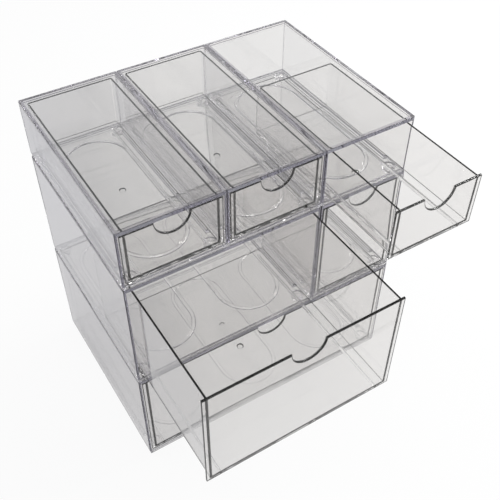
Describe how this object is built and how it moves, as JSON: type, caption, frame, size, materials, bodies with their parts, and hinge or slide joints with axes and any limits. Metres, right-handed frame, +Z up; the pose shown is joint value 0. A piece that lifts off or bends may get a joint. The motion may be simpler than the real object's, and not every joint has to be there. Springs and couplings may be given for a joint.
{
  "type": "stackable drawer unit",
  "caption": "Clear moulded drawer stack: open-fronted housings nest on each other in tiers, and each holds a pull-out drawer with a half-round finger notch.",
  "frame": {"origin": "on the surface that the stack stands on, under the middle of the whole outline with two drawers pulled out", "axes": "+X to the right along the width, +Y from the fronts to the backs, +Z up"},
  "size_m": [0.3426, 0.3856, 0.3681],
  "materials": {
    "smoky_clear_housing": "clear moulded polystyrene with a slight violet grey tint, polished",
    "smoky_clear_drawer": "clear moulded polystyrene with a slight grey tint, polished"
  },
  "bodies": {
    "root": {"upper_left_housing": "smoky_clear_housing", "upper_middle_housing": "smoky_clear_housing", "upper_right_housing": "smoky_clear_housing", "middle_wide_housing": "smoky_clear_housing", "middle_right_housing": "smoky_clear_housing", "lower_wide_housing": "smoky_clear_housing"},
    "upper_left_drawer": {"upper_left_drawer": "smoky_clear_drawer"},
    "upper_middle_drawer": {"upper_middle_drawer": "smoky_clear_drawer"},
    "upper_right_drawer": {"upper_right_drawer": "smoky_clear_drawer"},
    "middle_wide_drawer": {"middle_wide_drawer": "smoky_clear_drawer"},
    "middle_right_drawer": {"middle_right_drawer": "smoky_clear_drawer"},
    "lower_wide_drawer": {"lower_wide_drawer": "smoky_clear_drawer"}
  },
  "joints": [
    {"name": "upper_left_drawer_slide", "type": "slide", "parent": "root", "child": "upper_left_drawer", "axis": [0, -1, 0], "range_m": [0, 0.2]},
    {"name": "upper_middle_drawer_slide", "type": "slide", "parent": "root", "child": "upper_middle_drawer", "axis": [0, -1, 0], "range_m": [0, 0.2]},
    {"name": "upper_right_drawer_slide", "type": "slide", "parent": "root", "child": "upper_right_drawer", "axis": [0, -1, 0], "range_m": [-0.103, 0.097]},
    {"name": "middle_wide_drawer_slide", "type": "slide", "parent": "root", "child": "middle_wide_drawer", "axis": [0, -1, 0], "range_m": [-0.142, 0.058]},
    {"name": "middle_right_drawer_slide", "type": "slide", "parent": "root", "child": "middle_right_drawer", "axis": [0, -1, 0], "range_m": [0, 0.2]},
    {"name": "lower_wide_drawer_slide", "type": "slide", "parent": "root", "child": "lower_wide_drawer", "axis": [0, -1, 0], "range_m": [0, 0.2]}
  ]
}
